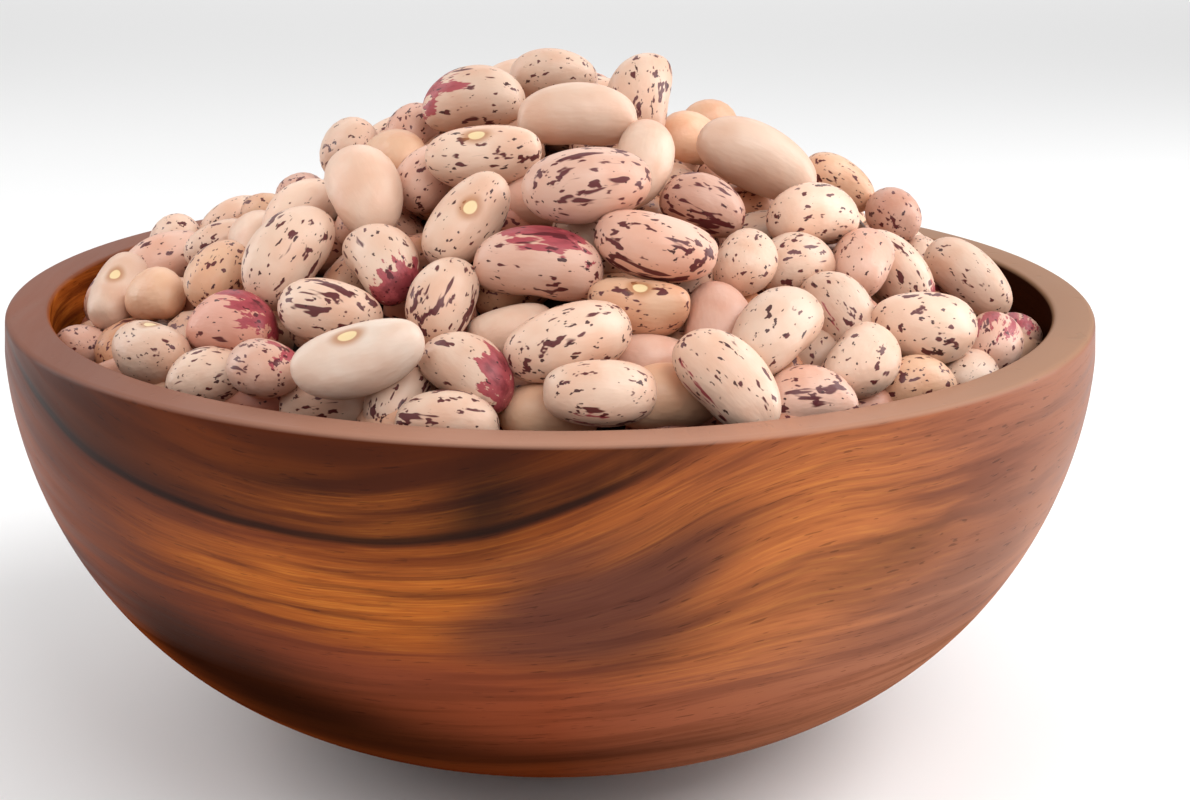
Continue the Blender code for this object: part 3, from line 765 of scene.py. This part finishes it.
# %% Settling the beans
# The rod and its balls, as shares of the bean's length, and the ball's places as shares of the rod
ROD_SHARE = 0.62
BALL_SHARES = np.array([0, 0.125, 0.29, 0.5, 0.71, 0.875, 1.0])
BALL_RADII = np.array([0.2, 0.25, 0.285, 0.3, 0.285, 0.25, 0.2])
GROUND_DEPTH = 4.2 * MM         # how far what bears the beans lies below their middles
WEIGHT_STEP = 0.1 * MM
# Shares of the way back that a bean is drawn in one step
EARLY_PULL, LATE_PULL, TURN_PULL = 0.09, 0.05, 0.05
LOOSE_SHARE = 0.3               # of that, where the photograph doesn't show the bean
STIFFNESS = 0.45                # how much less a bean that it shows gives way


def settled(middles, alongs, lengths, lifts, tied, rounds=260):
    """Beans pushed out of each other, the wood and the heap below, and held near their places."""
    half = (ROD_SHARE * lengths / 2)[:, None]
    start, end = middles - alongs * half, middles + alongs * half
    rays = unit(middles - EYE)
    radii = lengths[:, None] * BALL_RADII
    share = BALL_SHARES[:, None]
    for step in range(rounds):
        if step % 10 == 0:
            apart = np.sqrt((((start + end)[:, None] - (start + end)[None]) ** 2).sum(2)) / 2
            near = apart < (lengths[:, None] + lengths[None]) / 2 + 1 * MM
            one, other = np.nonzero(np.triu(near, 1))
        # Drawn to its place, turned to its direction, and drawn down by its weight
        off = middles - (start + end) / 2
        across = off - rays * (off * rays).sum(1)[:, None]
        level = off * np.array([1, 1, 0])
        pull = EARLY_PULL if step < 0.7 * rounds else LATE_PULL
        move = pull * (tied * across + (1 - tied) * LOOSE_SHARE * level)
        move[:, 2] -= WEIGHT_STEP * (1 - step / rounds)
        middle, along = (start + end) / 2 + move, unit(end - start)
        same_way = np.sign((along * alongs).sum(1))[:, None]
        along = unit(along + TURN_PULL * (alongs * same_way - along))
        start, end = middle - along * half, middle + along * half
        # Pushed out of what it touches
        balls = start[:, None] * (1 - share) + end[:, None] * share
        push_start, push_end = np.zeros_like(start), np.zeros_like(end)
        count = np.zeros(len(lengths))
        between = balls[one][:, :, None] - balls[other][:, None]
        apart = np.sqrt((between**2).sum(3))
        over = radii[one][:, :, None] + radii[other][:, None] - apart
        pair, k, m = np.nonzero(over > 0)
        push = between[pair, k, m] * (0.5 * over[pair, k, m] / apart[pair, k, m])[:, None]
        for which, sign, place in (
            (one[pair], 1, BALL_SHARES[k]),
            (other[pair], -1, BALL_SHARES[m]),
        ):
            for axis in range(3):
                part = 1.5 * sign * push[:, axis]
                push_start[:, axis] += np.bincount(which, part * (1 - place), len(lengths))
                push_end[:, axis] += np.bincount(which, part * place, len(lengths))
            count += np.bincount(which, minlength=len(lengths))
        ground = heap_height(balls[:, :, 0], balls[:, :, 1]) - GROUND_DEPTH + lifts[:, None]
        sunk = np.clip(ground - balls[:, :, 2] + radii, 0, None)
        out = np.hypot(balls[:, :, 0], balls[:, :, 1])
        past = np.clip(out + radii + GAP - inner_radius(balls[:, :, 2]), 0, None)
        for k, place in enumerate(BALL_SHARES):
            push = np.zeros_like(start)
            push[:, 2] = sunk[:, k]
            push[:, :2] -= balls[:, k, :2] * (past[:, k] / out[:, k])[:, None]
            push_start += push * (1 - place)
            push_end += push * place
            count += (sunk[:, k] > 0).astype(float) + (past[:, k] > 0)
        weight = (1 - STIFFNESS * tied) / np.maximum(1, 0.35 * count)[:, None]
        start, end = start + push_start * weight, end + push_end * weight
        middle, along = (start + end) / 2, unit(end - start)
        start = np.round(middle - along * half, 7)
        end = np.round(middle + along * half, 7)
    return (start + end) / 2, unit(end - start)


def seam_directions(middles, alongs):
    """Which way each bean's seam points: as the photograph shows, or else down into the heap."""
    draw = random.Random(5)
    seams = []
    for k, (middle, along) in enumerate(zip(middles, alongs)):
        bean = FRONT_BEANS[k] if k < len(FRONT_BEANS) else None
        if bean and bean.seam is not None:
            turn = math.radians(bean.seam)
            towards = SIDE * math.cos(turn) + TOP * math.sin(turn) - AHEAD * 0.9
        else:
            normal = heap_normal(middle[0], middle[1])
            aside = np.cross(normal, along)
            towards = aside * draw.choice((-1, 1)) - normal * draw.uniform(0.1, 1.2)
        seams.append(towards - along * (towards @ along))
    return unit(np.array(seams))


middles, alongs = settled(*starts)
seams = seam_directions(middles, alongs)
lengths = starts[2]
moved = np.linalg.norm(middles - starts[0], axis=1).mean()
print("beans moved", round(float(moved / MM), 2), "mm on average")

# %% [markdown]
# # The shape of one bean
# A borlotti-type bean is a plump kidney: a long round body, slightly flat on its two broad
# sides, bent a little round the white scar where it hung in its pod. One could sculpt it, or
# bend a subdivided ball. Here rings along its length are written out, so each point also knows
# its place on the bean. Four forms, from plump to bent, keep the heap from looking copied.

# %% Bean forms
# All but ends as shares of the length. A low value of ends makes a bean's ends blunt.
Form = namedtuple("Form", "width thickness bend ends belly")
FORMS = [
    Form(0.64, 0.58, 0.075, 0.80, 0.0), Form(0.68, 0.60, 0.045, 0.84, 0.03),
    Form(0.62, 0.58, 0.060, 0.66, -0.02), Form(0.66, 0.55, 0.095, 0.76, 0.015),
]


def bean_mesh(form, rings, sides):
    """Points and faces of a bean one unit long: X along it, -Y the seam's side, Z its thickness."""
    tip_y = -0.6 * form.bend
    points = [(-0.5, tip_y, 0)]
    for ring in range(1, rings + 1):
        turn = math.pi * ring / (rings + 1)
        x = -0.5 * math.cos(turn)
        size = math.sin(turn) ** form.ends * (1 + form.belly * math.sin(turn * 2))
        dent = 0.022 * math.exp(-((x / 0.13) ** 2))
        for k in range(sides):
            angle = 2 * math.pi * k / sides
            y = form.width / 2 * size * math.sin(angle)
            if y < 0:
                y = 0.9 * y + dent * math.sin(angle) ** 4
            y += form.bend * (0.4 - (2 * x) ** 2)
            points.append((x, y, form.thickness / 2 * size * math.cos(angle)))
    points.append((0.5, tip_y, 0))
    last = len(points) - 1
    faces = []
    for k in range(sides):
        after = (k + 1) % sides
        faces.append((0, 1 + k, 1 + after))
        for ring in range(rings - 1):
            low, high = 1 + ring * sides, 1 + (ring + 1) * sides
            faces.append((low + k, high + k, high + after, low + after))
        faces.append((last, last - sides + after, last - sides + k))
    return points, faces


def make_forms(name, rings, sides):
    """A collection with one bean of each form. Each point stores its place on the bean."""
    forms = bpy.data.collections.new(name)
    for index, form in enumerate(FORMS):
        points, faces = bean_mesh(form, rings, sides)
        thing = make_mesh(f"{name}_{index}", points, faces)
        store(thing, "place", np.array(points))
        bpy.context.scene.collection.objects.unlink(thing)
        forms.objects.link(thing)
    return forms


fine_forms = make_forms("fine_bean", 26, 24)
plain_forms = make_forms("lower_bean", 10, 12)

# %% [markdown]
# # Scattering beans with Geometry Nodes
# Every bean is one of four forms, turned, stretched and coloured its own way. Hundreds of copies
# could be made as objects, but one node tree does it in one go: each vertex of a small mesh
# stands for a bean and carries its turn, size, form and looks. Instance on Points puts the
# beans there, Realize Instances turns them into one mesh, and the looks stay on as attributes.

# %% Scatter tree
def scatter_tree():
    tree = bpy.data.node_groups.new("scatter_beans", "GeometryNodeTree")
    tree.is_modifier = True
    tree.interface.new_socket("Geometry", in_out="INPUT", socket_type="NodeSocketGeometry")
    tree.interface.new_socket("Forms", in_out="INPUT", socket_type="NodeSocketCollection")
    tree.interface.new_socket("Finish", in_out="INPUT", socket_type="NodeSocketMaterial")
    tree.interface.new_socket("Geometry", in_out="OUTPUT", socket_type="NodeSocketGeometry")

    def node(kind, **settings):
        made = tree.nodes.new(kind)
        for key, value in settings.items():
            setattr(made, key, value)
        return made

    def named(name, kind):
        made = node("GeometryNodeInputNamedAttribute", data_type=kind)
        made.inputs["Name"].default_value = name
        return made.outputs["Attribute"]

    source, target = node("NodeGroupInput"), node("NodeGroupOutput")
    forms = node("GeometryNodeCollectionInfo")
    forms.inputs["Separate Children"].default_value = True
    forms.inputs["Reset Children"].default_value = True
    spread = node("GeometryNodeInstanceOnPoints")
    spread.inputs["Pick Instance"].default_value = True
    turn = node("FunctionNodeEulerToRotation")
    realize, smooth = node("GeometryNodeRealizeInstances"), node("GeometryNodeSetShadeSmooth")
    finish = node("GeometryNodeSetMaterial")
    for start, end in (
        (source.outputs["Geometry"], spread.inputs["Points"]),
        (source.outputs["Forms"], forms.inputs["Collection"]),
        (forms.outputs["Instances"], spread.inputs["Instance"]),
        (named("form", "INT"), spread.inputs["Instance Index"]),
        (named("turn", "FLOAT_VECTOR"), turn.inputs["Euler"]),
        (turn.outputs["Rotation"], spread.inputs["Rotation"]),
        (named("size", "FLOAT_VECTOR"), spread.inputs["Scale"]),
        (spread.outputs["Instances"], realize.inputs["Geometry"]),
        (realize.outputs["Geometry"], smooth.inputs["Geometry"]),
        (smooth.outputs["Geometry"], finish.inputs["Geometry"]),
        (source.outputs["Finish"], finish.inputs["Material"]),
        (finish.outputs["Geometry"], target.inputs["Geometry"]),
    ):
        tree.links.new(start, end)
    return tree


def inside_the_wood(points):
    """Points kept off the bowl's inner wall, where a bean is pressed against it."""
    points = np.array(points, float)
    out = np.hypot(points[:, 0], points[:, 1])
    limit = inner_radius(points[:, 2]) - GAP
    points[:, :2] *= np.minimum(1, limit / np.maximum(out, 1e-9))[:, None]
    return points


SCATTER = scatter_tree()
print("scatter tree", len(SCATTER.nodes), "nodes")

# %% [markdown]
# # How each bean looks
# The seed coats run from cream and pink to tan. Most are sprinkled with crimson-brown specks,
# some of them more sparsely, some have long streaks, some a crimson patch on one side, and some
# no mark at all. A listed bean has the look that the photograph shows, and its patch points the
# way it does there. The others draw theirs with a fixed seed, so the heap never changes.

# %% Looks of the beans
TINTS = {
    "cream": (226, 194, 172), "pink": (222, 180, 160), "salmon": (214, 156, 136),
    "tan": (224, 180, 148), "rose": (210, 164, 144), "white": (222, 202, 186),
}
TINT_SHARES = (0.5, 0.16, 0.04, 0.16, 0.08, 0.06)
KINDS = ("speckled", "streaked", "patched", "plain")
KIND_SHARES = (0.5, 0.12, 0.14, 0.24)
COMMON_LENGTH = 14 * MM
Look = namedtuple("Look", "kind tint patch form size seed scar")


def axes_of(along, seam):
    """A bean's three directions: along it, away from its seam, and across both."""
    return np.array([along, -seam, np.cross(along, -seam)])


def look_of(listed, axes, length, draw):
    """The look of a bean, as listed or else drawn. A patch is a direction along its axes."""
    kind = listed.kind if listed else draw.choices(KINDS, KIND_SHARES)[0]
    tint = listed.tint if listed else draw.choices(tuple(TINTS), TINT_SHARES)[0]
    if listed and listed.patch is not None:
        turn = math.radians(listed.patch)
        patch = axes @ (SIDE * math.cos(turn) + TOP * math.sin(turn) - AHEAD * 0.5)
    else:
        patch = np.array([draw.uniform(-1, 1) for _ in range(3)])
    colour = np.array(from_srgb(*TINTS[tint])) * draw.uniform(0.9, 1.06)
    slim = (COMMON_LENGTH / length) ** 0.3 * (listed.slim if listed else 1)
    width, thickness = slim * draw.uniform(0.97, 1.04), slim * draw.uniform(0.96, 1.04)
    size = length * np.array([1, width, thickness])
    seed = [draw.uniform(0, 50) for _ in range(3)]
    scar = float(listed is None or listed.seam is not None)
    patch = unit(patch) * (listed.spread if listed else draw.uniform(0.8, 1.2))
    return Look(kind, colour, patch, draw.randrange(len(FORMS)), size, seed, scar)


def make_beans(name, forms, finish, rows):
    """One mesh of the beans in rows, each a middle, three directions and a look."""
    thing = make_mesh(name, [middle for middle, _, _ in rows], [])
    turns = [Matrix(axes.tolist()).transposed().to_euler() for _, axes, _ in rows]
    store(thing, "turn", np.array([tuple(turn) for turn in turns]))
    for field in ("size", "tint", "patch", "seed", "scar"):
        store(thing, field, np.array([getattr(look, field) for _, _, look in rows]))
    which = thing.data.attributes.new("form", "INT", "POINT")
    which.data.foreach_set("value", [look.form for _, _, look in rows])
    scatter = thing.modifiers.new("scatter", "NODES")
    scatter.node_group = SCATTER
    chosen = {"Forms": forms, "Finish": finish}
    for socket in SCATTER.interface.items_tree:
        if socket.in_out == "INPUT" and socket.name in chosen:
            scatter[socket.identifier] = chosen[socket.name]
    graph = bpy.context.evaluated_depsgraph_get()
    thing.data = bpy.data.meshes.new_from_object(thing.evaluated_get(graph))
    thing.modifiers.clear()
    points = inside_the_wood([vertex.co for vertex in thing.data.vertices])
    thing.data.vertices.foreach_set("co", points.astype(np.float32).ravel())
    thing.data.update()
    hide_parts("bean_heap")
    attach(thing, "root")
    print(name, len(rows), "beans", len(thing.data.polygons), "faces")


draw = random.Random(23)
top_rows = []
for index, (middle, along, seam, length) in enumerate(zip(middles, alongs, seams, lengths)):
    axes = axes_of(along, seam)
    listed = FRONT_BEANS[index] if index < len(FRONT_BEANS) else None
    top_rows.append((middle, axes, look_of(listed, axes, length, draw)))
print({kind: sum(row[2].kind == kind for row in top_rows) for kind in (*KINDS, "flecked")})

# %% [markdown]
# # The seed coat
# A dried bean's skin is thin, tight and satin: not wet, but smooth enough for a soft highlight.
# The marks lie in the skin and run along the bean, so their noise is stretched that way. The
# scar is a white oval with a tan ring, in the dent on the seam's side. Baked images would fix
# the marks once. Noise read from the stored place and seed gives each bean its own.

# %% Bean finishes
CRIMSON = from_srgb(84, 10, 22)
DEEP_CRIMSON = from_srgb(60, 10, 16)
SOFT_CRIMSON = from_srgb(160, 44, 64)
SCAR = from_srgb(230, 204, 156)
SCAR_RING = from_srgb(170, 110, 62)
WARM = (0.93, 0.80, 0.74)               # what the tint is multiplied by where the skin is warmer
SCAR_LENGTH, SCAR_WIDTH = 0.075, 0.056  # half the oval's size, as shares of the bean's length
# How much of the skin specks, fine specks and streaks cover, and where on a bean its patch starts
COVERS = {
    "speckled": (0.115, 0.075, 0.04, 0), "flecked": (0.075, 0.075, 0.02, 0),
    "streaked": (0.1, 0.06, 0.15, 0), "patched": (0.09, 0.06, 0.06, 0.24),
    "plain": (0, 0, 0, 0),
}


def bean_finish(name, specks, fine, streaks, patch):
    """A seed coat with its marks and its scar."""
    skin = Finish(name)
    place = skin.stored("place", "Vector")
    here = skin.vector("ADD", place, skin.stored("seed", "Vector"))
    tint = skin.stored("tint", "Color")
    warmer = skin.mix(1.0, tint, WARM, "MULTIPLY")
    colour = skin.mix(skin.step(skin.noise(here, 2.2), 0.35, 0.7), tint, warmer)

    if patch:
        ragged = skin.noise(here, (2.0, 11.0, 11.0), 3.0, 0.6)
        side = skin.vector("DOT_PRODUCT", place, skin.stored("patch", "Vector"), out="Value")
        side = skin.math("ADD", side, skin.times(skin.math("SUBTRACT", ragged, 0.5), 0.6))
        inside = skin.step(side, patch, patch + 0.03)
        colour = skin.mix(skin.times(inside, 0.9), colour, SOFT_CRIMSON)
        inner = skin.step(side, patch + 0.06, patch + 0.2)
        colour = skin.mix(skin.times(inner, 0.55), colour, CRIMSON)
    for amount, along, over, mark in (
        (streaks, 1.6, 9.5, CRIMSON), (specks, 5.6, 11.5, CRIMSON), (fine, 9.0, 18.0, DEEP_CRIMSON)
    ):
        if amount:
            spots = skin.noise(here, (along, over, over), 2.0, 0.55)
            cover = skin.step(spots, 0.72 - amount, 0.76 - amount)
            colour = skin.mix(skin.times(cover, 0.96), colour, mark)

    # The scar: an oval round the middle of the seam's side
    oval = skin.vector("MULTIPLY", place, (1 / SCAR_LENGTH, 0.0, 1 / SCAR_WIDTH))
    far = skin.vector("LENGTH", oval, out="Value")
    seam_side = skin.step(skin.add("ShaderNodeSeparateXYZ", place, out=1), 0.0, -0.05)
    seam_side = skin.times(seam_side, skin.stored("scar"))
    ring = skin.times(skin.step(far, 2.4, 1.0), seam_side)
    colour = skin.mix(skin.times(ring, 0.75), colour, SCAR_RING)
    colour = skin.mix(skin.times(skin.step(far, 1.05, 0.85), seam_side), colour, SCAR)

    fine_relief = skin.times(skin.noise(here, (8.0, 26.0, 26.0)), 0.25)
    uneven = skin.math("ADD", skin.noise(here, 5.0), fine_relief)
    skin.fill({
        "Base Color": colour,
        "Roughness": 0.42,
        "Specular IOR Level": 0.34,
        "Coat Weight": 0.1,
        "Coat Roughness": 0.3,
        "Subsurface Weight": 0.07,
        "Subsurface Radius": (1.0, 0.5, 0.35),
        "Subsurface Scale": 1.2 * MM,
        "Normal": skin.bump(uneven, 0.35, 0.6 * MM),
    })
    return skin.material


finishes = {kind: bean_finish(f"{kind}_skin", *cover) for kind, cover in COVERS.items()}
for kind, finish in finishes.items():
    rows = [row for row in top_rows if row[2].kind == kind]
    make_beans(f"beans_{kind}", fine_forms, finish, rows)

# %% [markdown]
# # What lies under the top beans
# Through the gaps between the top beans one sees more beans. The whole bowl could be filled with
# them, but nearly all would never be seen. So one more layer is settled below the first, with
# fewer faces to a bean, and its tints are darker and browner, as they are in the shade.

# %% Second layer
LOWER_BEANS = 138
LOWER_REACH = 67 * MM
LOWER_DEPTH = 7.5 * MM
IN_SHADE = np.array((0.82, 0.68, 0.60))


def lower_places():
    """Places for a second layer below the first, as first_places gives them."""
    draw = random.Random(31)
    places = []
    for k in range(LOWER_BEANS):
        x, y = spiral_place(k, LOWER_BEANS, LOWER_REACH, 1.0)
        turn, tip = draw.uniform(0, math.pi), draw.uniform(-0.3, 0.3)
        along = np.array([math.cos(turn), math.sin(turn), tip])
        middle = np.array([x, y, heap_height(x, y) - LOWER_DEPTH])
        places.append((middle, along, draw.uniform(12, 15) * MM, -LOWER_DEPTH, 0.0))
    return columns(places)


lower = lower_places()
lower_middles, lower_alongs = settled(*lower, rounds=120)
lower_seams = seam_directions(lower_middles, lower_alongs)
lower_rows = []
for middle, along, seam, length in zip(lower_middles, lower_alongs, lower_seams, lower[2]):
    axes = axes_of(along, seam)
    look = look_of(None, axes, length, draw)
    lower_rows.append((middle, axes, look._replace(tint=look.tint * IN_SHADE)))
make_beans("beans_below", plain_forms, finishes["speckled"], lower_rows)

# %% [markdown]
# # The core
# Below the second layer there is only shadow. More layers of beans would end it too, but they
# cost many faces for what hardly shows. One dark closed filling does the same: it keeps clear of
# the wood all round and follows the heap's surface at a fixed depth.

# %% Core
CORE_DROP = 12.5 * MM       # from the heap's surface to the core's top
CORE_EDGE = 12 * MM         # how far below the rim the core's edge lies, about
WALL_GAP = 0.6 * MM
CORE_SIDES, TOP_RINGS, WALL_RINGS = 72, 16, 14


def core_mesh():
    """A closed filling: its underside follows the wood, and its top the heap's surface."""
    points = [(0, 0, BASE_THICKNESS + GAP)]
    for step in range(1, WALL_RINGS + 1):
        rise = (BOWL_HEIGHT - CORE_EDGE - BASE_THICKNESS) * (step / WALL_RINGS) ** 1.5
        z = BASE_THICKNESS + 0.5 * MM + rise
        edge = float(inner_radius(z)) - WALL_GAP
        points += ring_points(edge, z, CORE_SIDES)
    for ring in range(TOP_RINGS - 1, 0, -1):
        for x, y, _ in ring_points(edge * ring / TOP_RINGS, 0, CORE_SIDES):
            points.append((x, y, max(heap_height(x, y) - CORE_DROP, BASE_THICKNESS + 1 * MM)))
    points.append((0, 0, heap_height(0.0, 0.0) - CORE_DROP))
    return points, ring_faces(WALL_RINGS + TOP_RINGS - 1, CORE_SIDES)


core = make_mesh("heap_core", *core_mesh())
core.data.shade_smooth()
shade = Finish("heap_shade")
shade.fill({"Base Color": (*from_srgb(48, 26, 20), 1), "Roughness": 0.9})
core.data.materials.append(shade.material)
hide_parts("bean_heap")
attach(core, "root")
print("core", len(core.data.polygons), "faces")
